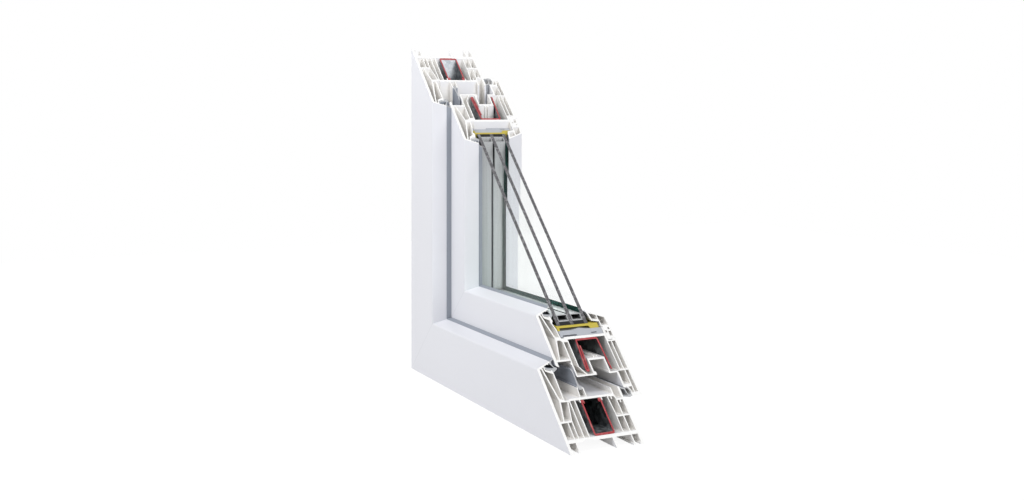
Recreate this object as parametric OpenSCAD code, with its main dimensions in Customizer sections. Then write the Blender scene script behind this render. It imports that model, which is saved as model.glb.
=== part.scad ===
// Corner sample of a white plastic window: outer frame, opening sash and triple glazing.
// One straight saw cut at 45 degrees goes through both legs, so every chamber, steel and seal shows.
// Every section below is drawn with depth to the right (0 at the weather face of the frame)
// and height upwards (0 at the outer edge of the frame).

/* [Corner] */
// Length of each leg along its outer edge
leg_length = 400; // [340:5:600]
// Distance by which the glass stays behind the saw cut
glass_setback = 2; // [0:0.5:6]
// Distance by which the steel stays clear of the welded mitre
steel_setback = 8; // [4:0.5:20]

/* [Walls] */
// Wall behind every visible face
face_wall = 3.0; // [2.4:0.1:3.4]
// Web between two chambers
web = 1.1; // [0.9:0.1:1.5]
// Radius on the visible edges
edge_radius = 1.2; // [0.6:0.1:1.6]
// Clearance between pieces that seat on each other
fit = 0.1; // [0.05:0.05:0.2]

/* [Outer frame] */
// Depth from the weather face to the room face
frame_depth = 82; // [78:1:92]
// Height of the flat weather face
frame_face = 67; // [64:0.5:72]
// Height of the floor that the sash closes on
rebate_floor = 41; // [38:0.5:44]
// Height of the feet under the frame
foot_height = 8.3; // [6:0.1:10]
// Thickness of the wall that the feet hang from
base_wall = 2.6; // [2:0.1:3.2]
// Thickness of the rebate floor
rebate_wall = 1.7; // [1.4:0.1:2.4]
// Depth of the small chambers in front of the steel
front_chambers = 27.5; // [26:0.5:30]
// Depth of the small chambers behind the steel
back_chambers = 17.5; // [16:0.1:20]
// Wall on the room side of the frame
back_wall = 2.4; // [1.8:0.1:3]

/* [Sloping edge of frame and sash] */
// Depth that the sloping edge covers
nose_run = 16.8; // [15.5:0.1:18.5]
// Height that the sloping edge gains
nose_rise = 5.2; // [4:0.1:7]
// Wall of the sloping edge over the seal pocket
nose_wall = 1.1; // [0.9:0.1:1.7]
// Depth at which the seal pocket starts
pocket_start = 8.7; // [7.5:0.1:10]

/* [Sash] */
// Gap between the sloping edge of the frame and the sash
outer_seal_gap = 5.2; // [4:0.1:8]
// Distance by which the sash stands proud of the frame on the room side
sash_stand_out = 22; // [20:0.5:26]
// Depth of the front part of the sash, behind the sloping edge of the frame
sash_front = 18; // [16.5:0.1:19.5]
// Height of the hardware space between frame and sash
hardware_gap = 16; // [14:0.5:18]
// Height by which the front lip of the sash stays above its underside
lip_rise = 9.2; // [7:0.1:11]
// Height of the sash body below the glazing floor
sash_body = 33.3; // [31:0.1:36]
// Thickness of the glazing floor
floor_wall = 2.1; // [1.5:0.1:2.6]
// Height of the weather face above the glazing floor
glazing_rebate = 20.8; // [18:0.2:24]
// Width of the hardware groove
groove_width = 16.9; // [15:0.1:18]
// Depth of the hardware groove
groove_depth = 12.3; // [10:0.1:14]
// Distance from the room face to the hardware groove
groove_inset = 25.6; // [24.8:0.1:28]
// Depth of the leg that covers the frame on the room side
leg_depth = 17.2; // [15.5:0.1:18.5]
// Height by which that leg hangs below the underside of the sash
leg_drop = 20.5; // [18:0.5:23]

/* [Steel] */
// Thickness of the steel sections
steel_sheet = 1.5; // [1.2:0.05:2.5]
// Width of the channel in the frame
frame_steel_width = 23; // [20:0.5:26]
// Height of its lips, folded back flat on the inside
frame_steel_lip = 3; // [2:0.1:5]
// Play between a steel section and its chamber
steel_play = 0.2; // [0.1:0.05:0.4]

/* [Glazing] */
// Thickness of one pane
pane = 4; // [3:0.5:5]
// Width of the gap between two panes
cavity = 12.5; // [10:0.5:14]
// Gap between the sloping edge of the sash and the first pane
glazing_seal_gap = 3.4; // [2.5:0.1:6]
// Gap between the last pane and the glazing bead
bead_seal_gap = 2; // [1.5:0.1:3.5]
// Distance that the glass unit stands away from the packer beside it
side_play = 3.2; // [0.2:0.1:4]
// Height of the bridge under the packer
bridge_height = 5.2; // [4:0.1:7]
// Height of the packer under the glass
packer_height = 4.2; // [3.4:0.1:6]
// Thickness of its plate
packer_plate = 1.8; // [1.2:0.1:3]
// Length of a packer and of a bridge
packer_length = 100; // [60:5:120]
// Height of the sealant between the edges of the panes
sealant_height = 3.2; // [2.5:0.1:5]
// Height of the hollow spacer bar
spacer_height = 6.4; // [5:0.1:8]
// Wall of the spacer bar
spacer_wall = 0.8; // [0.4:0.1:1]

/* [Hidden] */

// Levels of the frame
base_top = foot_height + base_wall;
rebate_under = rebate_floor - rebate_wall;
shelf_rise = 12.6;
shelf = base_top + shelf_rise;
upstand_back = nose_run - 0.4;

// Stations and levels of the sash
sash_y = nose_run + outer_seal_gap;
sash_back = frame_depth + sash_stand_out;
sash_step = sash_y + sash_front;
sash_under = rebate_floor + hardware_gap;
lip_under = sash_under + lip_rise;
glazing_floor = sash_under + sash_body;
floor_under = glazing_floor - floor_wall;
sash_face = glazing_floor + glazing_rebate;
upstand_in = sash_y + nose_run + 0.7;
groove_back = sash_back - groove_inset;
groove_front = groove_back - groove_width;
groove_top = sash_under + groove_depth;
groove_wall = 1.6;
leg_front = sash_back - leg_depth;
leg_under = sash_under - leg_drop;
clip_wall = 1.6;
clip_front = sash_back - 12.2;
clip_back = clip_front + clip_wall;
bead_groove_floor = glazing_floor - 6.1;
bead_groove_back = clip_back + 5.2;

// Steel in the sash: its front leg stands in the space between its chamber wall and the groove
step_wall = 1.4;
sash_steel_web = sash_step + step_wall + 4.5;
hem_width = 2 * steel_sheet + 0.9;
steel_space = groove_front - groove_wall - hem_width - sash_steel_web - web;
sash_steel_front = sash_steel_web + web + 0.68 * steel_space;
sash_steel_back = groove_back + groove_wall + steel_play + steel_sheet;
sash_steel_foot = sash_under + 3.3;
steel_lean = 0.26 * steel_space;
steel_flare = 1.6;

// Stations and levels of the glazing
glass_y = sash_y + nose_run + glazing_seal_gap;
pitch = pane + cavity;
glass_back = glass_y + 2 * pitch + pane;
bridge_under = glazing_floor + fit;
packer_under = bridge_under + bridge_height + fit;
glass_edge = packer_under + packer_height + fit;
spacer_under = glass_edge + sealant_height;
bead_nose = glass_back + bead_seal_gap;

// How far the ends of the loose side pieces have slipped behind the saw cut
packer_slip = 5.5;
bridge_slip = 8;
end_slip = 0.5;

arc_steps = 6;

white = "#eceef2";
rubber = "#5c636d";
steel = "#b9bdc1";

// Points of an outline whose corners [y, w, r] are rounded to the radius r
function unit(v) = v / norm(v);
function turn(a, b, c, r) =
    let (u = unit(a - b), v = unit(c - b), half = acos(u * v) / 2)
    let (centre = b + unit(u + v) * r / sin(half), first = b + u * r / tan(half) - centre)
    let (start = atan2(first.y, first.x), sweep = (180 - 2 * half) * (cross(u, v) < 0 ? 1 : -1))
    [for (i = [0:arc_steps]) let (t = start + sweep * i / arc_steps) centre + r * [cos(t), sin(t)]];
function flat(p) = [p.x, p.y];
function rounded(pts) = [
    for (i = [0:len(pts) - 1])
        let (n = len(pts), a = flat(pts[(i + n - 1) % n]), b = flat(pts[i]), c = flat(pts[(i + 1) % n]))
        each is_undef(pts[i][2]) ? [b] : turn(a, b, c, pts[i][2])
];

// A path whose corners [y, w, r] between its two ends are bent to the radius r
function bent(pts) = [
    for (i = [0:len(pts) - 1])
        each is_undef(pts[i][2]) ? [flat(pts[i])]
        : turn(flat(pts[i - 1]), flat(pts[i]), flat(pts[i + 1]), pts[i][2])
];

// Outline of a strip of even thickness t that lies to the left of a path
function left(v) = [-v.y, v.x];
function offset_point(path, i, t) =
    i == 0 ? path[0] + t * left(unit(path[1] - path[0]))
    : i == len(path) - 1 ? path[i] + t * left(unit(path[i] - path[i - 1]))
    : let (a = unit(path[i] - path[i - 1]), b = unit(path[i + 1] - path[i]))
      path[i] + t * (left(a) + left(b)) / (1 + a * b);
function strip(path, t) = concat(path, [for (i = [len(path) - 1:-1:0]) offset_point(path, i, t)]);

module box(y0, w0, y1, w1) {
    translate([y0, w0]) square([y1 - y0, w1 - w0]);
}

// Everything stands with the middle of its base at the origin
module placed() {
    translate([-leg_length / 2, -sash_back / 2, 0]) children();
}

// A length along the sill, from a start to the saw cut, mitred towards the corner
module bottom_length(start = 0, mitre = 0, end = 0) {
    reach = leg_length - end;
    intersection() {
        translate([start, 0, 0]) rotate([90, 0, 90]) linear_extrude(leg_length - start) children();
        translate([0, 2 * sash_back, 0]) rotate([90, 0, 0]) linear_extrude(3 * sash_back)
            polygon([[mitre, 0], [reach, 0], [(reach + mitre) / 2, (reach - mitre) / 2]]);
    }
}

// The same length along the jamb
module side_length(start = 0, mitre = 0, end = 0) {
    mirror([1, 0, -1]) bottom_length(start, mitre, end) children();
}

// A piece that goes round the corner in one
module corner_piece(end = 0) {
    bottom_length(end = end) children();
    side_length(end = end) children();
}

// Sloping edge with a pocket for its seal, from the weather face to the nib that holds the seal
nose_slope = nose_rise / nose_run;
nose_rib = nose_run - 3.8;
function nose_under(u) = nose_slope * u - nose_wall;
function nose(y, w) = [
    [y, w, 2 * edge_radius],
    [y + nose_run, w + nose_rise, nose_wall / 3],
    [y + nose_run, w + nose_under(nose_run)],
    [y + nose_rib + 1.2, w + nose_under(nose_rib + 1.2)],
    [y + nose_rib + 1, w + nose_under(nose_rib) - 0.5],
    [y + nose_rib + 0.2, w + nose_under(nose_rib) - 0.5],
    [y + nose_rib, w + nose_under(nose_rib)],
    [y + pocket_start, w + nose_under(pocket_start)],
    [y + pocket_start, w - 1.6, 1.4],
    [y + nose_run - 2.4, w - 2.9],
    [y + nose_run - 2.2, w - 1.9],
    [y + nose_run - 1.2, w - 2.1]
];

// Seal in that pocket: a foot, an open hollow under the sloping edge and two lips to the next surface
module nose_seal_section(y, w, gap) {
    tip = nose_run + gap - fit;
    roof = nose_under(nose_run) - fit;
    translate([y, w]) polygon([
        [pocket_start + fit, 0.8], [pocket_start + fit, -0.3], [pocket_start + 1.2, -1.7],
        [nose_run - 2.5, -2.6], [nose_run - 2.5, -1.7], [nose_run - 1.1, -1.9], [nose_run - 0.3, -4],
        [nose_run + 0.5, -3.9], [tip, -1.7], [tip, -0.8], [nose_run + 0.6 * gap, -0.2],
        [nose_run + 0.35 * gap, 1], [nose_run + 0.2 * gap, roof - 0.8],
        [nose_run + 0.32 * gap, roof + 0.9], [tip, nose_rise + 1.3], [tip, nose_rise + 2.1],
        [nose_run + 0.25 * gap, nose_rise + 0.6], [nose_run + fit, nose_rise - 0.2],
        [nose_run + fit, roof], [nose_run - 1.2, nose_under(nose_run - 1.2) - fit],
        [nose_run - 1.2, roof - 1.2], [nose_run + 0.12 * gap, 1], [nose_run + 0.38 * gap, -0.6],
        [nose_run - 0.4, -0.9], [pocket_start + 2, -0.2], [pocket_start + 1, 0.8]
    ]);
}

// Outer frame
third_web = 20.7;
frame_last_web = frame_depth - 9.6;
middle_nib = sash_step - 6.2;
nib_gap = 6;
nib_height = 8;
hardware_nib = frame_last_web - 1.6;
hardware_nib_wall = 1.6;
back_lip = 4.8;
drain = rebate_floor - 4.3;
frame_steel_front = front_chambers + 5.7;
frame_steel_back = frame_steel_front + frame_steel_width;
second_foot = 10;
third_foot = frame_steel_back - 5.4;
fourth_foot = frame_last_web - 0.6;

// Feet of the underside, each drawn from its room side to its weather side
function hooked_foot(y, end, hook) = [
    [y + web, foot_height], [y + web, end], [y - hook, end], [y - hook, end + 1.3], [y, end + 2],
    [y, foot_height]
];
function barbed_foot(y) = concat(
    [[y + web, foot_height]],
    [for (w = [5.6, 3.6, 1.6]) each [[y + web, w + 0.7], [y + web + 1, w], [y + web, w - 0.7]]],
    [[y + web, 0], [y, 0], [y, foot_height]]
);

module frame_outline() {
    room = frame_depth - back_wall;
    lip_top = rebate_floor + back_lip;
    hook = 1.4;
    polygon(rounded(concat(
        nose(0, frame_face),
        [
            [upstand_back, frame_face - 4.4, edge_radius / 2],
            [upstand_back, rebate_floor - 1], [upstand_back + 4, rebate_floor - 1],
            [upstand_back + 5.4, rebate_floor],
            [middle_nib, rebate_floor], [middle_nib + 0.6, rebate_floor + nib_height - 1.2],
            [middle_nib + 1.4, rebate_floor + nib_height], [middle_nib + 2.6, rebate_floor + nib_height],
            [middle_nib + 0.6 + web, rebate_floor + nib_height - 1.4], [middle_nib + web, rebate_floor],
            [middle_nib + web + nib_gap, rebate_floor],
            [middle_nib + web + nib_gap, rebate_floor + nib_height - 1.7],
            [middle_nib + web + nib_gap - 1.1, rebate_floor + nib_height - 0.5],
            [middle_nib + 2 * web + nib_gap, rebate_floor + nib_height - 0.5],
            [middle_nib + 2 * web + nib_gap, rebate_floor],
            [hardware_nib, rebate_floor], [hardware_nib, lip_top - 0.2],
            [hardware_nib + hardware_nib_wall, lip_top - 0.2],
            [hardware_nib + hardware_nib_wall, rebate_floor - 0.8],
            [hardware_nib + hardware_nib_wall + 1, drain], [room, drain], [room, lip_top],
            [frame_depth, lip_top, edge_radius / 2],
            [frame_depth, 0], [room - hook, 0], [room - hook, 1.2], [room, 2], [room, foot_height]
        ],
        hooked_foot(fourth_foot, 0, hook), barbed_foot(third_foot),
        [
            [front_chambers + 2.5, foot_height], [front_chambers - 0.5, foot_height + 1.4],
            [third_web - 0.2, foot_height + 1.4], [third_web - 3.2, foot_height]
        ],
        hooked_foot(second_foot, 0.6, 0.8),
        [
            [face_wall, foot_height], [face_wall, 2.6], [face_wall + hook, 1.6],
            [face_wall + hook, 0], [0, 0]
        ]
    )));
}

// A short rib that hangs from the top of a chamber at the height w
module hanging_rib(y, w) {
    rib_length = 2.2;
    box(y, w - rib_length, y + web, w + fit);
}

module frame_chambers() {
    nose_web = 11;
    second_web = 14.6;
    steel_web = front_chambers - web;
    back_web = frame_depth - back_chambers;
    back_shelf = shelf - 0.7;
    room = frame_depth - back_wall;
    upstand_wall = upstand_back - 1.3;
    box(face_wall, base_top, second_foot, shelf);
    box(second_foot + web, base_top, second_web, shelf);
    polygon([
        [face_wall, shelf + web], [6.2, shelf + web], [nose_web - 0.8, rebate_under + 1],
        [face_wall + 1.6, frame_face - 0.3], [face_wall, frame_face - 0.6]
    ]);
    polygon([
        [7.5, shelf + web], [second_web, shelf + web],
        [second_web + 4, rebate_under - 0.4], [nose_web + 0.5, rebate_under]
    ]);
    polygon([
        [nose_web + 0.5, rebate_floor + 1], [upstand_wall, rebate_floor],
        [upstand_wall, frame_face - 5.1], [pocket_start + 2.3, frame_face - 3.8],
        [pocket_start - 0.5, frame_face - 2.6], [pocket_start - 1.2, frame_face + 0.9],
        [face_wall + 2.9, frame_face + 0.4]
    ]);
    polygon([
        [second_web + web, base_top], [third_web, base_top], [third_web, rebate_under - 0.6],
        [second_web + web + 4, rebate_under - 0.6], [second_web + web, shelf + web]
    ]);
    box(third_web + web, base_top, steel_web, rebate_under);
    difference() {
        polygon([
            [front_chambers, base_top], [back_web, base_top], [back_web + 0.4, shelf + web],
            [back_web - 0.8, rebate_under], [front_chambers, rebate_under]
        ]);
        hanging_rib(frame_steel_front - web - steel_play, rebate_under);
        hanging_rib(frame_steel_back + steel_play, rebate_under);
    }
    box(back_web + web, base_top, frame_last_web, back_shelf);
    difference() {
        polygon([
            [back_web + web + 0.4, back_shelf + web], [frame_last_web, back_shelf + web],
            [frame_last_web, rebate_under - 3], [frame_last_web - 1.2, rebate_under - 0.6],
            [back_web + web - 0.8, rebate_under - 0.2]
        ]);
        hanging_rib(back_web + 3, rebate_under - 0.4);
    }
    box(frame_last_web + web, base_top, room, back_shelf);
    difference() {
        box(frame_last_web + web, back_shelf + web, room, drain - 1.3);
        hanging_rib(frame_last_web + 3.6, drain - 1.3);
    }
}

module frame_section() {
    difference() {
        frame_outline();
        frame_chambers();
    }
}

module frame_sill() {
    color(white) placed() bottom_length() frame_section();
}

module frame_jamb() {
    color(white) placed() side_length() frame_section();
}

// Sash
leg_wall = 2;
seal_pocket_height = 8;
seal_pocket_depth = 6.4;
leg_roof = leg_under + seal_pocket_height;
leg_hook = leg_front + seal_pocket_depth;
sash_last_web = sash_back - 8.2;
clip_top = glazing_floor + 5.3;
room_top = bead_groove_floor + 1.8;

module sash_outline() {
    polygon(rounded(concat(
        [[sash_y, lip_under + 1.6]],
        nose(sash_y, sash_face),
        [
            [upstand_in - 1.1, sash_face - 4.4], [upstand_in - 0.8, sash_face - 6.3],
            [upstand_in - 2.6, sash_face - 7.9], [upstand_in - 1.6, sash_face - 10.6],
            [upstand_in - 0.3, sash_face - 14.2], [upstand_in, glazing_floor + 1.7],
            [upstand_in + 0.7, glazing_floor - 0.9], [upstand_in + 3.5, glazing_floor - 0.9],
            [upstand_in + 5.1, glazing_floor],
            [clip_front, glazing_floor], [clip_front, clip_top], [clip_back, clip_top],
            [clip_back, bead_groove_floor], [bead_groove_back, bead_groove_floor],
            [bead_groove_back, room_top], [sash_back, room_top, edge_radius / 2],
            [sash_back, leg_under, edge_radius], [leg_hook - 0.8, leg_under + 0.4, edge_radius / 2],
            [leg_hook - 0.8, leg_under + 2.8], [leg_hook, leg_under + 3.8],
            [leg_hook - 1, leg_roof - 1.9], [leg_front + 3.6, leg_roof],
            [leg_front, leg_roof, edge_radius / 2],
            [leg_front, sash_under], [groove_back - 0.6, sash_under],
            [groove_back - 0.6, sash_under + 1.6], [groove_back, sash_under + 1.6],
            [groove_back, groove_top], [groove_front, groove_top],
            [groove_front, sash_under + 2.6], [groove_front + 1.9, sash_under + 2.6],
            [groove_front + 1.9, sash_under],
            [sash_step, sash_under, edge_radius / 2], [sash_step, lip_under + 0.8],
            [sash_step - 1.2, lip_under + 1.6], [sash_step, lip_under + 2.6], [sash_step, lip_under + 4.4],
            [sash_y + face_wall, lip_under + 4.4], [sash_y + face_wall, lip_under]
        ]
    )));
}

module sash_chambers() {
    slant = 6.6;
    knee = sash_y + 11.6;
    knee_w = glazing_floor - 0.9;
    front_under = lip_under + 4.4 + web + 0.3;
    back_web = sash_back - 13;
    room_wall = sash_back - face_wall;
    neck = upstand_in - web;
    groove_middle = (groove_front + groove_back) / 2;
    leg_top = sash_under + 1;
    leg_web = sash_last_web + 0.6;
    polygon([
        [sash_y + face_wall, front_under], [sash_y + slant - web / 2, front_under],
        [knee - web / 2, knee_w], [sash_y + face_wall + 1.6, sash_face - 0.3],
        [sash_y + face_wall, sash_face - 0.6]
    ]);
    polygon([
        [sash_y + slant + web / 2, front_under], [sash_step, front_under],
        [sash_step, floor_under - 2], [sash_step - 2.2, floor_under - 0.2],
        [knee + web / 2 + 0.2, floor_under - 0.2]
    ]);
    polygon([
        [knee + web / 2, glazing_floor + 0.3], [neck, glazing_floor + 0.3],
        [neck - 0.3, sash_face - 14.2], [neck - 1.6, sash_face - 10.8],
        [neck - 2.8, sash_face - 8], [neck - 2.6, sash_face - 5.5],
        [sash_y + pocket_start + 2.3, sash_face - 4.2],
        [sash_y + pocket_start - 0.5, sash_face - 3], [sash_y + pocket_start - 1.2, sash_face + 0.7],
        [sash_y + face_wall + 2.9, sash_face + 0.3]
    ]);
    polygon([
        [sash_step + step_wall, sash_under + web], [sash_steel_front - 1.4, sash_under + web],
        [sash_steel_web, sash_under + 8], [sash_steel_web, floor_under - 2],
        [sash_step + step_wall, floor_under - 2]
    ]);
    difference() {
        polygon([
            [sash_steel_web + web, floor_under], [back_web, floor_under], [back_web, sash_under + web],
            [groove_back + groove_wall, sash_under + web],
            [groove_back + groove_wall, groove_top + groove_wall],
            [groove_front - groove_wall, groove_top + groove_wall],
            [groove_front - groove_wall, sash_under + web],
            [sash_steel_front, sash_under + web], [sash_steel_web + web, sash_under + 8.2]
        ]);
        for (y = [groove_middle - 2.5, groove_middle + 1.4])
            box(y, groove_top + groove_wall - fit, y + web, groove_top + groove_wall + 1.9);
    }
    box(back_web + web, leg_top + web, sash_last_web, bead_groove_floor - web);
    box(sash_last_web + web, leg_top + web, room_wall, bead_groove_floor - web);
    box(leg_front + leg_wall, leg_roof + 2.4, leg_web, leg_top);
    box(leg_web + web, leg_under + 3.2, room_wall, leg_top);
    polygon([
        [leg_hook - 0.6, leg_roof], [leg_web, leg_roof], [leg_web, leg_under + 3.2],
        [leg_hook + 1.1, leg_under + 3.2], [leg_hook + 0.9, leg_roof - 3.4]
    ]);
}

module sash_section() {
    difference() {
        sash_outline();
        sash_chambers();
    }
}

module sash_rail() {
    color(white) placed() bottom_length() sash_section();
}

module sash_stile() {
    color(white) placed() side_length() sash_section();
}

// Glazing bead, clipped into its groove on the room side
bead_foot = clip_back + 2 * fit;
bead_room = sash_back - 1.2;
bead_seat = room_top + fit;
bead_under = packer_under + packer_height + 1;
bead_top = sash_face - 0.3;
bead_crown = bead_top - 6;
bead_slant = 2.4;

module bead_section() {
    inner_web = (bead_nose + bead_room - web) / 2;
    difference() {
        polygon(rounded([
            [bead_foot, bead_groove_floor + 0.6], [bead_groove_back - 2 * fit, bead_groove_floor + 0.6],
            [bead_groove_back - 2 * fit, bead_seat], [bead_room, bead_seat, edge_radius / 3],
            [bead_room - 1.2, bead_crown, edge_radius], [bead_nose + 1.2, bead_top, edge_radius / 2],
            [bead_nose, bead_top - 0.8], [bead_nose + bead_slant, bead_under + 1.2],
            [clip_front + 0.2, bead_under], [clip_front + 0.2, clip_top + 0.5], [bead_foot, clip_top + 0.5]
        ]));
        polygon([
            [bead_nose + 2.6, bead_top - 2], [inner_web, bead_crown + 2],
            [inner_web, bead_under + 1.8], [bead_nose + 3.8, bead_under + 2.4]
        ]);
        polygon([
            [inner_web + web, bead_crown + 1.6], [bead_room - 2.6, bead_crown - 0.7],
            [bead_room - 1.8, clip_top + 1.6], [clip_front + 1.4, clip_top + 1.7],
            [clip_front + 1.4, bead_under + 1.2], [inner_web + web, bead_under + 2]
        ]);
        box(bead_foot + 1, clip_top - 5.1, bead_foot + 3, clip_top - 3);
        box(bead_foot + 4.4, bead_seat + 1.4, bead_room - 1.7, clip_top - 3.8);
        box(bead_foot + 5, clip_top - 2.4, bead_room - 2, clip_top - 0.6);
    }
}

module bead_bottom() {
    color(white) placed() bottom_length() bead_section();
}

module bead_side() {
    color(white) placed() side_length() bead_section();
}

// Galvanised steel: an open channel whose lips are folded back flat on the inside
bend = steel_sheet + 0.6;
fold = steel_sheet + 0.1;

module frame_steel_section() {
    foot = base_top + steel_play;
    head = rebate_under - steel_play;
    hem = 2 * steel_sheet + 0.6;
    polygon(strip(bent([
        [frame_steel_front + hem, head - frame_steel_lip], [frame_steel_front + hem, head, fold],
        [frame_steel_front, head, fold], [frame_steel_front, foot, bend],
        [frame_steel_back, foot, bend], [frame_steel_back, head, fold],
        [frame_steel_back - hem, head, fold], [frame_steel_back - hem, head - frame_steel_lip]
    ]), steel_sheet));
}

module frame_steel_bottom() {
    color(steel) placed() bottom_length(mitre = steel_setback) frame_steel_section();
}

module frame_steel_side() {
    color(steel) placed() side_length(mitre = steel_setback) frame_steel_section();
}

// Galvanised steel: a channel over the hardware groove, its front leg folded back on itself
module sash_steel_section() {
    head = floor_under - steel_play;
    hem = sash_steel_front + hem_width;
    polygon(strip(bent([
        [hem + 0.78 * steel_lean, head - 6], [hem, sash_steel_foot, fold],
        [sash_steel_front, sash_steel_foot, fold], [sash_steel_front + steel_lean, head, bend],
        [sash_steel_back, head, bend], [sash_steel_back + steel_flare, sash_steel_foot]
    ]), -steel_sheet));
}

module sash_steel_bottom() {
    color(steel) placed() bottom_length(mitre = steel_setback) sash_steel_section();
}

module sash_steel_side() {
    color(steel) placed() side_length(mitre = steel_setback) sash_steel_section();
}

// Seals
module frame_seal() {
    color(rubber) placed() corner_piece() nose_seal_section(0, frame_face, outer_seal_gap);
}

module middle_seal() {
    nib_top = rebate_floor + nib_height;
    mouth_front = middle_nib + 2.6 + fit;
    mouth_back = middle_nib + web + nib_gap - 1.1 - fit;
    stem = mouth_front + 0.9;
    lip_top = sash_under + 7.2;
    color(rubber) placed() corner_piece() polygon([
        [mouth_front - 0.2, nib_top - 2], [mouth_back + 0.2, nib_top - 2], [mouth_back, nib_top - 0.7],
        [mouth_back, nib_top - 0.5 + fit], [mouth_back + 1.5, nib_top - 0.5 + fit],
        [mouth_back + 1.4, nib_top + 0.5], [stem + 1, nib_top + 1.3], [stem + 0.7, nib_top + 4],
        [stem + 0.9, lip_top - 4], [stem + 0.1, lip_top], [stem - 1.3, lip_top - 0.2],
        [stem - 0.5, lip_top - 4], [stem - 0.6, nib_top + 6], [stem - 1.2, nib_top + 1.3],
        [mouth_front - 1.8, nib_top + 0.9], [mouth_front - 1.8, nib_top + fit],
        [mouth_front, nib_top + fit], [mouth_front, nib_top - 0.3], [mouth_front - 0.4, nib_top - 1.2]
    ]);
}

module overlap_seal() {
    stop = frame_depth + fit;
    color(rubber) placed() corner_piece() difference() {
        polygon([
            [stop, leg_roof - 0.3], [stop, leg_roof + 0.6], [leg_front - 0.6, leg_roof - 0.4],
            [leg_front + 0.6, leg_roof - fit], [leg_front + 3.5, leg_roof - fit],
            [leg_hook - 1.2, leg_roof - 2], [leg_hook - 0.2, leg_under + 3.8],
            [leg_hook - 0.9, leg_under + 2.9], [leg_hook - 0.9, leg_under + 0.6],
            [leg_front + 2, leg_under - 0.2], [stop, leg_under + 0.7], [stop, leg_under + 1.5],
            [leg_front + 0.9, leg_under + 1.1], [leg_front, leg_under + 4.6],
            [leg_front - 0.8, leg_roof - 1.6]
        ]);
        polygon([
            [leg_front + 0.7, leg_roof - 1], [leg_front + 3.2, leg_roof - 1],
            [leg_hook - 2, leg_roof - 2.3], [leg_hook - 1.1, leg_under + 4],
            [leg_hook - 1.8, leg_under + 2], [leg_front + 1.8, leg_under + 1.8],
            [leg_front + 0.9, leg_under + 4.8]
        ]);
    }
}

module glazing_seal_outer() {
    color(rubber) placed() corner_piece(glass_setback)
        nose_seal_section(sash_y, sash_face, glazing_seal_gap);
}

module glazing_seal_inner() {
    slope = bead_slant / (bead_top - 0.8 - bead_under - 1.2);
    crown = bead_top - 1;
    foot = crown - 3.6;
    color(rubber) placed() corner_piece() polygon([
        [bead_nose - fit / 2, crown + 0.2], [glass_back + bead_seal_gap / 2, crown + 0.7],
        [glass_back + fit, crown - 0.4], [glass_back + fit, crown - 2.2],
        [glass_back + bead_seal_gap / 2, foot],
        [bead_nose + slope * (crown - foot) - fit, foot]
    ]);
}

// Glazing: three panes on a common triangle, held apart by hollow spacers and edge sealant
unit_end = glass_setback + side_play;

module glass_pane(index) {
    far = leg_length - unit_end - glass_edge;
    translate([side_play, glass_y + index * pitch + pane, 0]) rotate([90, 0, 0]) linear_extrude(pane)
        polygon([[glass_edge, glass_edge], [far, glass_edge], [glass_edge, far]]);
}

module glass_outer() {
    color("#c9dcd6") placed() glass_pane(0);
}

module glass_middle() {
    color("#c9dcd6") placed() glass_pane(1);
}

module glass_inner() {
    color("#c9dcd6") placed() glass_pane(2);
}

module spacer_bar(index) {
    front = glass_y + index * pitch + pane + fit;
    back = front + cavity - 2 * fit;
    translate([side_play, 0, 0]) corner_piece(unit_end) difference() {
        box(front, spacer_under + fit, back, spacer_under + spacer_height);
        box(front + spacer_wall, spacer_under + fit + spacer_wall,
            back - spacer_wall, spacer_under + spacer_height - spacer_wall);
    }
}

module edge_sealant(index) {
    front = glass_y + index * pitch + pane + fit;
    translate([side_play, 0, 0]) corner_piece(unit_end)
        box(front, glass_edge, front + cavity - 2 * fit, spacer_under);
}

module spacer_outer() {
    color("#b4b8bb") placed() spacer_bar(0);
}

module spacer_inner() {
    color("#b4b8bb") placed() spacer_bar(1);
}

module edge_sealant_outer() {
    color("#1b1c1e") placed() edge_sealant(0);
}

module edge_sealant_inner() {
    color("#1b1c1e") placed() edge_sealant(1);
}

// Packer: a thin plate under the glass on a narrow foot and a thick one
packer_front = upstand_in + 1;
packer_back = clip_front - 2.5;
packer_start = leg_length - glass_edge - packer_length;

module packer_section() {
    top = packer_under + packer_height;
    plate_under = top - packer_plate;
    front_foot = 2.2;
    back_foot = 11.5;
    polygon([
        [packer_front, packer_under], [packer_front + front_foot, packer_under],
        [packer_front + front_foot, plate_under], [packer_back - back_foot, plate_under],
        [packer_back - back_foot + 1.5, packer_under], [packer_back, packer_under],
        [packer_back, top], [packer_front, top]
    ]);
}

module packer_bottom() {
    color("#e2cf2f") placed() bottom_length(start = packer_start, end = end_slip) packer_section();
}

module packer_side() {
    color("#e2cf2f") placed() side_length(start = packer_start, end = packer_slip) packer_section();
}

// Bridge: levels the stepped glazing floor, with a low hump on top and a step and a slot below
module bridge_section() {
    top = bridge_under + bridge_height;
    back = clip_front - 0.5;
    step = 16.5;
    hump_steps = 8;
    hump_back = back - 15.5;
    hump = 20;
    hump_height = 1.2;
    slot_back = back - 7;
    slot = 6.5;
    difference() {
        polygon(concat(
            [
                [packer_front, bridge_under], [packer_front + 3, bridge_under],
                [packer_front + 3, bridge_under + 1.4], [packer_front + 3 + step, bridge_under + 1.4],
                [packer_front + 3 + step, bridge_under], [back, bridge_under], [back, top]
            ],
            [for (i = [0:hump_steps]) let (t = i / hump_steps)
                [hump_back - hump * t, top + hump_height * pow(sin(180 * t), 2)]],
            [[packer_front, top]]
        ));
        box(slot_back - slot, bridge_under + 1, slot_back, bridge_under + 2);
    }
}

module bridge_bottom() {
    color("#aab2bd") placed() bottom_length(start = packer_start, end = end_slip) bridge_section();
}

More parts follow.
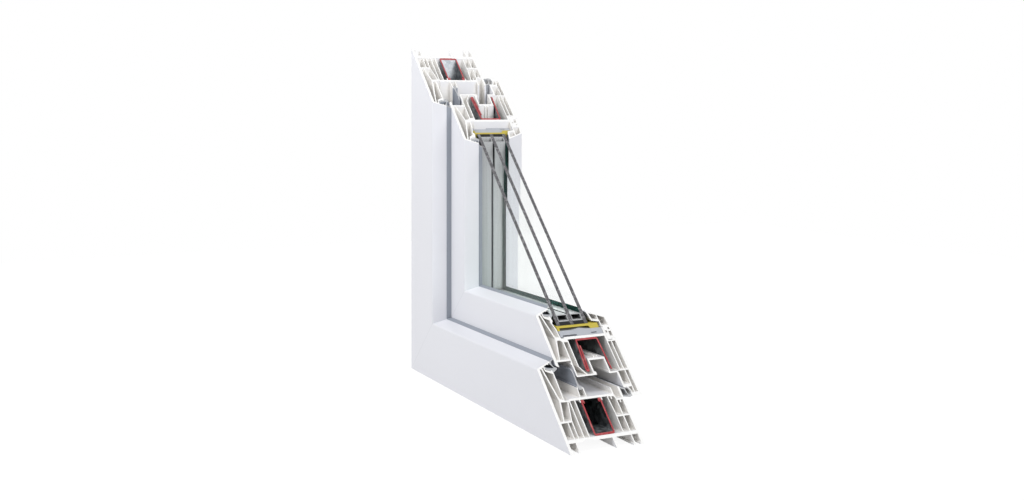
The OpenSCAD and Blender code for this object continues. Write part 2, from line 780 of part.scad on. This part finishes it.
module bridge_side() {
    color("#aab2bd") placed() side_length(start = packer_start, end = bridge_slip) bridge_section();
}

frame_sill();
frame_jamb();
sash_rail();
sash_stile();
bead_bottom();
bead_side();
frame_steel_bottom();
frame_steel_side();
sash_steel_bottom();
sash_steel_side();
frame_seal();
middle_seal();
overlap_seal();
glazing_seal_outer();
glazing_seal_inner();
glass_outer();
glass_middle();
glass_inner();
spacer_outer();
spacer_inner();
edge_sealant_outer();
edge_sealant_inner();
packer_bottom();
packer_side();
bridge_bottom();
bridge_side();
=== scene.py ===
import math

import bpy
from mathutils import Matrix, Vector


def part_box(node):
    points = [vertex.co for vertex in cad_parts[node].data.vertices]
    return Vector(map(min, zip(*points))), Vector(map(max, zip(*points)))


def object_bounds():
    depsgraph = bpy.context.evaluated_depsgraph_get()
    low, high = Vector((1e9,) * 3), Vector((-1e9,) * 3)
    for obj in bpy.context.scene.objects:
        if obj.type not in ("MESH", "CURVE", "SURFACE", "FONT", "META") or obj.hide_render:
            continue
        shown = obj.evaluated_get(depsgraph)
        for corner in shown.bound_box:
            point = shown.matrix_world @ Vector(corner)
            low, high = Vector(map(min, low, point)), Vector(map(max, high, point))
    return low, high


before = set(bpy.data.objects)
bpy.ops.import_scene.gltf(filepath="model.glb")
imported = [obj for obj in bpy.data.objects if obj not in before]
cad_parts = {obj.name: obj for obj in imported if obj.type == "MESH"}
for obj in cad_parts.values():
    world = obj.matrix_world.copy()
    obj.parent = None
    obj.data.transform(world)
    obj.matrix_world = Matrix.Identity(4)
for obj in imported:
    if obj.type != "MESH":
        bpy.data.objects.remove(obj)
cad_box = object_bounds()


# Outer frame: two hollow lengths of white window PVC, extruded, mitred at the corner and welded.
# A circular saw cut both at 45 degrees, so the thin webs of every chamber stand open to view.
MM = 0.001
leg_start = cad_box[0][0]
leg_length = cad_box[1][0] - cad_box[0][0]
cut_normal = (math.sqrt(0.5), 0.0, math.sqrt(0.5))
cut_limit = 0.98


def linear(colour):
    """A colour written as sRGB hex, as the linear RGBA that shader sockets take."""
    parts = [int(colour[i:i + 2], 16) / 255 for i in (1, 3, 5)]
    return [p / 12.92 if p <= 0.04045 else ((p + 0.055) / 1.055) ** 2.4 for p in parts] + [1.0]


def finish(name):
    """A new material with its node tree and its surface shader."""
    material = bpy.data.materials.new(name)
    material.use_nodes = True
    tree = material.node_tree
    return material, tree, tree.nodes["Principled BSDF"]


def add(tree, kind, inputs, **settings):
    """Adds one shader node. An input is a plain value or a socket to link."""
    made = tree.nodes.new(kind)
    for name, value in settings.items():
        setattr(made, name, value)
    for key, value in inputs.items():
        if isinstance(value, bpy.types.NodeSocket):
            tree.links.new(value, made.inputs[key])
        else:
            made.inputs[key].default_value = value
    return made


def dress(material, *names):
    """Gives the pieces of these names that finish."""
    for name in names:
        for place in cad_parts[name].material_slots:
            place.material = material


def along_profile(tree):
    """The place, then the run along a length, the depth and the height, the same on sill and jamb."""
    place = add(tree, "ShaderNodeTexCoord", {}).outputs["Object"]
    part = add(tree, "ShaderNodeSeparateXYZ", {0: place})
    side = add(tree, "ShaderNodeMath", {0: part.outputs["X"], 1: -leg_start}, operation="ADD").outputs[0]
    up = part.outputs["Z"]
    run = add(tree, "ShaderNodeMath", {0: side, 1: up}, operation="MAXIMUM").outputs[0]
    height = add(tree, "ShaderNodeMath", {0: side, 1: up}, operation="MINIMUM").outputs[0]
    return place, run, part.outputs["Y"], height


def drawn_lines(tree, run, depth, height, spacing):
    """Uneven lines along the length, as a die leaves them on whatever is pushed through it."""
    stretch = 0.02
    slow_run = add(tree, "ShaderNodeMath", {0: run, 1: stretch}, operation="MULTIPLY").outputs[0]
    streaks = add(tree, "ShaderNodeCombineXYZ", {0: slow_run, 1: depth, 2: height}).outputs[0]
    lines = add(tree, "ShaderNodeTexNoise", {"Vector": streaks, "Scale": 1 / spacing, "Detail": 2.0})
    return lines.outputs["Fac"]


def sawn_faces(tree):
    """White where a face looks along the saw cut, black elsewhere."""
    normal = add(tree, "ShaderNodeNewGeometry", {}).outputs["Normal"]
    facing = add(tree, "ShaderNodeVectorMath", {0: normal, 1: cut_normal}, operation="DOT_PRODUCT")
    sawn = add(tree, "ShaderNodeMath", {
        0: facing.outputs["Value"], 1: cut_limit}, operation="GREATER_THAN")
    return sawn.outputs[0]


# Extruded window PVC: satin and cool white outside with faint lines along the length, with a warmer
# painted shade deep in the chambers, and bright, matt and finely scored where the saw went through.
# A fine grey line on the mitre is painted shade of the trimmed weld groove.
pvc, tree, surface = finish("extruded white window PVC")
face_white = linear("#EBECF2")
recess_shade_tint = linear("#EFEDEA")
sawn_white = linear("#FBFBFA")
weld_groove_shade = linear("#C9CBD1")
die_spacing = 1.6 * MM
saw_spacing = 1.2 * MM
wave_period = 0.314  # the length in which a wave texture of scale 1 repeats
weld_width = 0.7 * MM
weld_strength = 0.5
chamber_reach = 40 * MM
open_share = 0.97
shut_share = 0.6
relief_depth = 0.03 * MM
place, run, depth, height = along_profile(tree)
sawn = sawn_faces(tree)
lines = drawn_lines(tree, run, depth, height, die_spacing)
# Painted shade: where little open sky reaches a wall deep in the chambers, the white turns to a warmer tint.
open_sky = add(tree, "ShaderNodeAmbientOcclusion", {"Distance": chamber_reach}, only_local=True, samples=8)
shaded_recess = add(tree, "ShaderNodeMapRange", {
    "Value": open_sky.outputs["AO"], "From Min": open_share, "From Max": shut_share}).outputs[0]
wall = add(tree, "ShaderNodeMix", {"Factor": shaded_recess, "A": face_white, "B": recess_shade_tint}, data_type="RGBA")
# Painted shade: a fine grey line along the mitre, for the shadow in the weld groove.
off_mitre = add(tree, "ShaderNodeMath", {0: run, 1: height}, operation="SUBTRACT").outputs[0]
groove_shade_mask = add(tree, "ShaderNodeMapRange", {
    "Value": off_mitre, "From Min": 0.0, "From Max": weld_width,
    "To Min": weld_strength, "To Max": 0.0}).outputs[0]
groove_shaded = add(tree, "ShaderNodeMix", {
    "Factor": groove_shade_mask, "A": wall.outputs["Result"], "B": weld_groove_shade}, data_type="RGBA")
skin = add(tree, "ShaderNodeMix", {
    "Factor": sawn, "A": groove_shaded.outputs["Result"], "B": sawn_white}, data_type="RGBA")
scores = add(tree, "ShaderNodeTexWave", {
    "Vector": place, "Scale": wave_period / saw_spacing, "Distortion": 1.5, "Detail": 2.0},
    bands_direction="Y")
relief = add(tree, "ShaderNodeMix", {
    "Factor": sawn, "A": lines, "B": scores.outputs["Fac"]}, data_type="FLOAT")
bumps = add(tree, "ShaderNodeBump", {
    "Height": relief.outputs["Result"], "Strength": 0.25, "Distance": relief_depth})
shine = add(tree, "ShaderNodeMapRange", {"Value": sawn, "To Min": 0.34, "To Max": 0.62})
tree.links.new(skin.outputs["Result"], surface.inputs["Base Color"])
tree.links.new(shine.outputs[0], surface.inputs["Roughness"])
tree.links.new(bumps.outputs[0], surface.inputs["Normal"])
surface.inputs["IOR"].default_value = 1.53
dress(pvc, "frame_sill", "frame_jamb")


# Steel bars: channels bent from galvanised sheet and slid into the main chambers before welding.
# Their sawn ends are painted red against rust, and here and there the paint has run over the edge.
# Hot-dip zinc gives cool grey crystals of uneven brightness, and the brushed paint is thin in places.
zinc, tree, surface = finish("galvanised steel with painted ends")
zinc_pale = linear("#A6AAAD")
zinc_dark = linear("#6E7377")
paint_red = linear("#A93A40")
paint_thin = linear("#C06C6B")
spangle = 4 * MM
paint_reach = 0.5 * MM
paint_wobble = 0.6 * MM
brush_mark = 4 * MM
place = add(tree, "ShaderNodeTexCoord", {}).outputs["Object"]
crystals = add(tree, "ShaderNodeTexVoronoi", {"Vector": place, "Scale": 1 / spangle})
tone = add(tree, "ShaderNodeSeparateColor", {0: crystals.outputs["Color"]}).outputs[0]
metal = add(tree, "ShaderNodeMix", {"Factor": tone, "A": zinc_dark, "B": zinc_pale}, data_type="RGBA")
towards_cut = add(tree, "ShaderNodeVectorMath", {0: place, 1: cut_normal}, operation="DOT_PRODUCT")
cut_place = (leg_start + leg_length) * cut_normal[0]
behind = add(tree, "ShaderNodeMath", {
    0: cut_place, 1: towards_cut.outputs["Value"]}, operation="SUBTRACT").outputs[0]
wobble = add(tree, "ShaderNodeTexNoise", {
    "Vector": place, "Scale": 1 / brush_mark, "Detail": 2.0}).outputs["Fac"]
edge = add(tree, "ShaderNodeMath", {
    0: wobble, 1: 2 * paint_wobble, 2: paint_reach - paint_wobble}, operation="MULTIPLY_ADD").outputs[0]
run_over = add(tree, "ShaderNodeMath", {0: behind, 1: edge}, operation="LESS_THAN").outputs[0]
paint = add(tree, "ShaderNodeMath", {0: run_over, 1: sawn_faces(tree)}, operation="MAXIMUM").outputs[0]
coat = add(tree, "ShaderNodeMapRange", {"Value": wobble, "From Min": 0.5, "From Max": 0.75}).outputs[0]
red = add(tree, "ShaderNodeMix", {"Factor": coat, "A": paint_red, "B": paint_thin}, data_type="RGBA")
skin = add(tree, "ShaderNodeMix", {
    "Factor": paint, "A": metal.outputs["Result"], "B": red.outputs["Result"]}, data_type="RGBA")
bare = add(tree, "ShaderNodeMath", {0: 1.0, 1: paint}, operation="SUBTRACT").outputs[0]
dull = add(tree, "ShaderNodeMapRange", {"Value": tone, "To Min": 0.34, "To Max": 0.5})
tree.links.new(skin.outputs["Result"], surface.inputs["Base Color"])
tree.links.new(bare, surface.inputs["Metallic"])
tree.links.new(dull.outputs[0], surface.inputs["Roughness"])
dress(zinc, "frame_steel_bottom", "frame_steel_side", "sash_steel_bottom", "sash_steel_side")


# Sash: the opening part, of the same white PVC, with a groove for the hardware underneath
# and a leg on the room side that laps over the frame. It is mitred and welded like the frame.
dress(pvc, "sash_rail", "sash_stile")


# Seals: soft extruded rubber pressed into the pockets of frame, sash and bead, bent round the corner.
# The hollows of the grey seals are painted darker, as painted shade. The one under the leg of the sash
# is painted paler against the shade it stands in, its hollows most of all, as painted light.
# The inner glazing seal is black, and shows through the glass as a dark line round the opening.
seal_lines = 0.8 * MM
seal_pores = 0.5 * MM
seal_relief = 0.05 * MM
hollow_reach = 8 * MM


def extruded_rubber(name, skin, cut, hollow_painted_tone):
    """Seal rubber: a skin lined along the length by the die, and paler, dull and porous where cut."""
    material, tree, surface = finish(name)
    place, run, depth, height = along_profile(tree)
    sawn = sawn_faces(tree)
    lines = drawn_lines(tree, run, depth, height, seal_lines)
    pores = add(tree, "ShaderNodeTexNoise", {"Vector": place, "Scale": 1 / seal_pores, "Detail": 2.0})
    # Painted light and shade in the hollows: where little open sky reaches, the skin turns to the given
    # hollow tone.
    open_sky = add(tree, "ShaderNodeAmbientOcclusion", {
        "Distance": hollow_reach}, only_local=True, samples=8)
    hollow_paint_mask = add(tree, "ShaderNodeMapRange", {
        "Value": open_sky.outputs["AO"], "From Min": 0.7, "From Max": 0.4}).outputs[0]
    walls = add(tree, "ShaderNodeMix", {
        "Factor": hollow_paint_mask, "A": linear(skin), "B": linear(hollow_painted_tone)}, data_type="RGBA")
    tone = add(tree, "ShaderNodeMix", {
        "Factor": sawn, "A": walls.outputs["Result"], "B": linear(cut)}, data_type="RGBA")
    relief = add(tree, "ShaderNodeMix", {
        "Factor": sawn, "A": lines, "B": pores.outputs["Fac"]}, data_type="FLOAT")
    bumps = add(tree, "ShaderNodeBump", {
        "Height": relief.outputs["Result"], "Strength": 0.3, "Distance": seal_relief})
    dull = add(tree, "ShaderNodeMapRange", {"Value": sawn, "To Min": 0.55, "To Max": 0.8})
    tree.links.new(tone.outputs["Result"], surface.inputs["Base Color"])
    tree.links.new(dull.outputs[0], surface.inputs["Roughness"])
    tree.links.new(bumps.outputs[0], surface.inputs["Normal"])
    return material


grey_rubber = extruded_rubber("extruded grey seal rubber", "#959BA6", "#B6B8BB", "#63656A")
# A copy of the grey seal rubber, painted paler as painted light against the shade under the sash leg.
lit_grey_rubber = extruded_rubber("extruded grey seal rubber painted paler", "#9C9FA5", "#C0C1C3", "#BDBCBA")
black_rubber = extruded_rubber("extruded black seal rubber", "#1E2223", "#3A3D3E", "#1E2223")
dress(grey_rubber, "frame_seal", "middle_seal", "glazing_seal_outer")
dress(lit_grey_rubber, "overlap_seal")
dress(black_rubber, "glazing_seal_inner")


# Bridge and packer: two moulded plastic plates under the glass that carry its weight.
# The bridge levels the glazing floor, and the yellow packer sets the height.
cloud_size = 9 * MM
grain_size = 0.6 * MM
grain_depth = 0.05 * MM


def moulded(name, colour, worn):
    """Polypropylene from a mould: a fine even grain, a little clouded in colour."""
    material, tree, surface = finish(name)
    place = add(tree, "ShaderNodeTexCoord", {}).outputs["Object"]
    clouds = add(tree, "ShaderNodeTexNoise", {"Vector": place, "Scale": 1 / cloud_size, "Detail": 3.0})
    tint = add(tree, "ShaderNodeMix", {
        "Factor": clouds.outputs["Fac"], "A": linear(colour), "B": linear(worn)}, data_type="RGBA")
    pits = add(tree, "ShaderNodeTexNoise", {"Vector": place, "Scale": 1 / grain_size, "Detail": 1.0})
    bumps = add(tree, "ShaderNodeBump", {
        "Height": pits.outputs["Fac"], "Strength": 0.35, "Distance": grain_depth})
    dull = add(tree, "ShaderNodeMapRange", {"Value": clouds.outputs["Fac"], "To Min": 0.4, "To Max": 0.6})
    tree.links.new(tint.outputs["Result"], surface.inputs["Base Color"])
    tree.links.new(dull.outputs[0], surface.inputs["Roughness"])
    tree.links.new(bumps.outputs[0], surface.inputs["Normal"])
    return material


grey_plastic = moulded("moulded blue-grey polypropylene", "#A9AEB7", "#BEC1C7")
yellow_plastic = moulded("moulded yellow polypropylene", "#CABA44", "#C2AF4C")
dress(grey_plastic, "bridge_bottom", "bridge_side")
dress(yellow_plastic, "packer_bottom", "packer_side")


# Glass unit: three panes of float glass, bonded at the edge round two hollow spacers.
# The panes were scored and broken along the diagonal, so that edge is dull, grey and a little chipped.
# Their other edges are ground and dark green, and the same dark green is painted in a band along the edge of
# the inner pane, as painted shade standing in for the dark seal and its shadow seen through it.
edge_dark = linear("#646366")
edge_pale = linear("#939295")
dark_edge_green = linear("#213D38")
clear_white = linear("#FFFFFF")
float_green = linear("#C3ECE4")
light_passed = linear("#F9FCFA")
chip = 3 * MM
dark_edge_band = 14 * MM
face_limit = 0.5
for name, band_top in (("glass_outer", 0.0), ("glass_middle", 0.0), ("glass_inner", dark_edge_band)):
    glass, tree, surface = finish(f"float glass of {name}")
    place = add(tree, "ShaderNodeTexCoord", {}).outputs["Object"]
    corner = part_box(name)[0]
    inwards = add(tree, "ShaderNodeVectorMath", {0: place, 1: corner}, operation="SUBTRACT")
    part = add(tree, "ShaderNodeSeparateXYZ", {0: inwards.outputs["Vector"]})
    # Painted shade: on the inner pane, faces below the band's top take the dark edge green instead of
    # staying clear.
    height = add(tree, "ShaderNodeMath", {
        0: part.outputs["X"], 1: part.outputs["Z"]}, operation="MINIMUM").outputs[0]
    above = add(tree, "ShaderNodeMath", {0: height, 1: band_top}, operation="GREATER_THAN").outputs[0]
    normal = add(tree, "ShaderNodeNewGeometry", {}).outputs["Normal"]
    across = add(tree, "ShaderNodeSeparateXYZ", {0: normal}).outputs["Y"]
    facing = add(tree, "ShaderNodeMath", {0: across}, operation="ABSOLUTE").outputs[0]
    face = add(tree, "ShaderNodeMath", {0: facing, 1: face_limit}, operation="GREATER_THAN").outputs[0]
    clear = add(tree, "ShaderNodeMath", {0: face, 1: above}, operation="MULTIPLY").outputs[0]
    chips = add(tree, "ShaderNodeTexNoise", {
        "Vector": place, "Scale": 1 / chip, "Detail": 3.0, "Roughness": 0.7})
    flecks = add(tree, "ShaderNodeMapRange", {
        "Value": chips.outputs["Fac"], "From Min": 0.48, "From Max": 0.62}).outputs[0]
    broken = add(tree, "ShaderNodeMix", {
        "Factor": flecks, "A": edge_dark, "B": edge_pale}, data_type="RGBA")
    edges = add(tree, "ShaderNodeMix", {
        "Factor": sawn_faces(tree), "A": dark_edge_green, "B": broken.outputs["Result"]}, data_type="RGBA")
    tint = add(tree, "ShaderNodeMix", {
        "Factor": clear, "A": edges.outputs["Result"], "B": clear_white}, data_type="RGBA")
    rough = add(tree, "ShaderNodeMapRange", {"Value": clear, "To Min": 0.5, "To Max": 0.0})
    green = add(tree, "ShaderNodeVolumeAbsorption", {"Color": float_green, "Density": 6.0})
    tree.links.new(tint.outputs["Result"], surface.inputs["Base Color"])
    tree.links.new(clear, surface.inputs["Transmission Weight"])
    tree.links.new(rough.outputs[0], surface.inputs["Roughness"])
    tree.links.new(green.outputs[0], tree.nodes["Material Output"].inputs["Volume"])
    # Glass has 1.52. At that, the panes mirror so much white that the dark lines behind them fade.
    surface.inputs["IOR"].default_value = 1.2
    # The edges and the band have hardly any gloss.
    surface.inputs["Specular IOR Level"].default_value = 0.05
    # Lamps shine straight through a pane.
    ray = add(tree, "ShaderNodeLightPath", {})
    lets_light = add(tree, "ShaderNodeMath", {
        0: ray.outputs["Is Shadow Ray"], 1: clear}, operation="MULTIPLY").outputs[0]
    pass_on = add(tree, "ShaderNodeBsdfTransparent", {"Color": light_passed})
    pane = add(tree, "ShaderNodeMixShader", {0: lets_light, 1: surface.outputs[0], 2: pass_on.outputs[0]})
    tree.links.new(pane.outputs[0], tree.nodes["Material Output"].inputs["Surface"])
    dress(glass, name)


# Spacer bars: grey polymer drawn to hollow bars, satin, with a row of pinholes to the drying beads inside,
# painted as black dots of shade.
# Their flanks are bonded to the panes with black butyl, and the bore is painted black as painted shade.
spacer_dark = linear("#A9ACAE")
spacer_pale = linear("#BBBDBF")
butyl_and_shade_black = linear("#17191A")
spacer_lines = 0.9 * MM
hole_pitch = 3 * MM
hole_radius = 0.25 * MM
butyl_film = 0.05 * MM
bore_reach = 8 * MM
bore_shade = 0.85
for name in ("spacer_outer", "spacer_inner"):
    front, back = (corner[1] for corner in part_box(name))
    spacer, tree, surface = finish(f"satin grey {name} bar")
    run, depth, height = along_profile(tree)[1:]
    lines = drawn_lines(tree, run, depth, height, spacer_lines)
    grey = add(tree, "ShaderNodeMix", {
        "Factor": lines, "A": spacer_dark, "B": spacer_pale}, data_type="RGBA")
    to_hole = add(tree, "ShaderNodeMath", {0: run, 1: hole_pitch / 2}, operation="PINGPONG").outputs[0]
    aside = add(tree, "ShaderNodeMath", {0: depth, 1: (front + back) / 2}, operation="SUBTRACT").outputs[0]
    offset = add(tree, "ShaderNodeCombineXYZ", {0: to_hole, 1: aside}).outputs[0]
    reach = add(tree, "ShaderNodeVectorMath", {0: offset}, operation="LENGTH").outputs["Value"]
    # Painted shade: each pinhole is a black dot.
    hole = add(tree, "ShaderNodeMath", {0: reach, 1: hole_radius}, operation="LESS_THAN").outputs[0]
    off_middle = add(tree, "ShaderNodeMath", {0: aside}, operation="ABSOLUTE").outputs[0]
    flank = add(tree, "ShaderNodeMath", {
        0: off_middle, 1: (back - front) / 2 - butyl_film}, operation="GREATER_THAN").outputs[0]
    # Painted shade: where little open sky reaches, in the bore, the grey turns black.
    open_sky = add(tree, "ShaderNodeAmbientOcclusion", {
        "Distance": bore_reach}, only_local=True, samples=8)
    painted_bore_shadow = add(tree, "ShaderNodeMapRange", {
        "Value": open_sky.outputs["AO"], "From Min": 0.7, "From Max": 0.4, "To Max": bore_shade}).outputs[0]
    flank_and_hole_black = add(tree, "ShaderNodeMath", {0: hole, 1: flank}, operation="MAXIMUM").outputs[0]
    dark = add(tree, "ShaderNodeMath", {0: flank_and_hole_black, 1: painted_bore_shadow}, operation="MAXIMUM").outputs[0]
    skin = add(tree, "ShaderNodeMix", {
        "Factor": dark, "A": grey.outputs["Result"], "B": butyl_and_shade_black}, data_type="RGBA")
    dull = add(tree, "ShaderNodeMapRange", {"Value": lines, "To Min": 0.36, "To Max": 0.52})
    tree.links.new(skin.outputs["Result"], surface.inputs["Base Color"])
    tree.links.new(dull.outputs[0], surface.inputs["Roughness"])
    dress(spacer, name)


# Edge sealant: black two-part paste, pressed in behind the spacers with a nozzle.
# It cures to a dull, slightly wavy skin.
sealant, tree, surface = finish("black edge sealant")
paste_black = linear("#141516")
paste_dusty = linear("#2B2C2E")
ripple = 2.5 * MM
ripple_depth = 0.3 * MM
place = add(tree, "ShaderNodeTexCoord", {}).outputs["Object"]
waves = add(tree, "ShaderNodeTexNoise", {
    "Vector": place, "Scale": 1 / ripple, "Detail": 3.0}).outputs["Fac"]
black = add(tree, "ShaderNodeMix", {"Factor": waves, "A": paste_black, "B": paste_dusty}, data_type="RGBA")
bumps = add(tree, "ShaderNodeBump", {"Height": waves, "Strength": 0.5, "Distance": ripple_depth})
tree.links.new(black.outputs["Result"], surface.inputs["Base Color"])
tree.links.new(bumps.outputs[0], surface.inputs["Normal"])
surface.inputs["Roughness"].default_value = 0.7
surface.inputs["Specular IOR Level"].default_value = 0.25
dress(sealant, "edge_sealant_outer", "edge_sealant_inner")


# Glazing beads: white PVC strips, cut to fit and clipped into the sash on the room side.
# They press the glass against the outer seal.
dress(pvc, "bead_bottom", "bead_side")


# Studio: a floor of white paper in a white room, with four soft lamps: in front, to the right, overhead
# and behind on the left. The overhead one hangs close, so the jamb is lit more than the sill.
floor_size = 3.0
floor_gap = 0.1 * MM
paper_white = linear("#E7E7E7")
glow_strength = 1.12
glow_share = 0.8
room_light = 0.4
bpy.ops.object.select_all(action="DESELECT")
bpy.ops.mesh.primitive_plane_add(size=floor_size, location=(0, 0, -floor_gap))
floor = bpy.context.object
floor.name = "studio_floor"


def seen_directly(tree):
    """White for rays from the camera and for those that gloss and glass send on."""
    ray = add(tree, "ShaderNodeLightPath", {})
    seen = add(tree, "ShaderNodeMath", {
        0: ray.outputs["Is Camera Ray"], 1: ray.outputs["Is Glossy Ray"]}, operation="MAXIMUM").outputs[0]
    return add(tree, "ShaderNodeMath", {
        0: seen, 1: ray.outputs["Is Transmission Ray"]}, operation="MAXIMUM").outputs[0]


# Matt paper: plain white to the eye, with a share of its own shade left in, so that a soft shadow shows.
paper, tree, surface = finish("white studio paper")
surface.inputs["Base Color"].default_value = paper_white
surface.inputs["Roughness"].default_value = 0.9
glow = add(tree, "ShaderNodeEmission", {"Color": clear_white, "Strength": glow_strength})
share = add(tree, "ShaderNodeMath", {0: seen_directly(tree), 1: glow_share}, operation="MULTIPLY").outputs[0]
mixed = add(tree, "ShaderNodeMixShader", {0: share, 1: surface.outputs[0], 2: glow.outputs[0]})
tree.links.new(mixed.outputs[0], tree.nodes["Material Output"].inputs["Surface"])
floor.data.materials.append(paper)

world = bpy.data.worlds.new("white studio")
bpy.context.scene.world = world
world.use_nodes = True
tree = world.node_tree
level = add(tree, "ShaderNodeMapRange", {"Value": seen_directly(tree), "To Min": room_light, "To Max": 1.0})
sky = tree.nodes["Background"]
sky.inputs["Color"].default_value = clear_white
tree.links.new(level.outputs[0], sky.inputs["Strength"])
part_middle = (Vector(cad_box[0]) + Vector(cad_box[1])) / 2


def lamp(name, place, size, power):
    """A square area lamp that looks at the middle of the part."""
    light = bpy.data.lights.new(name, "AREA")
    light.size = size
    light.energy = power
    holder = bpy.data.objects.new(name, light)
    holder.location = place
    holder.rotation_euler = (part_middle - Vector(place)).to_track_quat("-Z", "Y").to_euler()
    bpy.context.scene.collection.objects.link(holder)


lamp("front_softbox", (-0.6, -2.2, 1.2), 1.6, 6)
lamp("right_softbox", (2.3, 0.7, 0.8), 1.2, 25)
lamp("top_softbox", (-0.05, -0.6, 1.1), 0.6, 6.5)
lamp("left_softbox", (-2.0, 1.4, 1.3), 1.4, 14)


# Camera: level, to the right of the weather face and looking back at the saw cut.
# The lens is shifted, because the part stands low in the picture of a level camera.
picture_width = 1024
picture_height = 500
focal_pixels = 1114.8
horizon_row = 112.8
camera_aside = 1.3035
camera_away = 0.5199
camera_height = 0.3202
camera_turn = 63.102
camera_data = bpy.data.cameras.new("camera")
camera_data.sensor_width = 36
camera_data.lens = camera_data.sensor_width * focal_pixels / picture_width
camera_data.shift_y = (horizon_row - picture_height / 2) / picture_width
camera = bpy.data.objects.new("camera", camera_data)
camera.location = (leg_start + camera_aside, cad_box[0][1] - camera_away, camera_height)
camera.rotation_euler = (math.radians(90), 0, math.radians(camera_turn))
bpy.context.scene.collection.objects.link(camera)
bpy.context.scene.camera = camera
bpy.context.scene.view_settings.view_transform = "Standard"
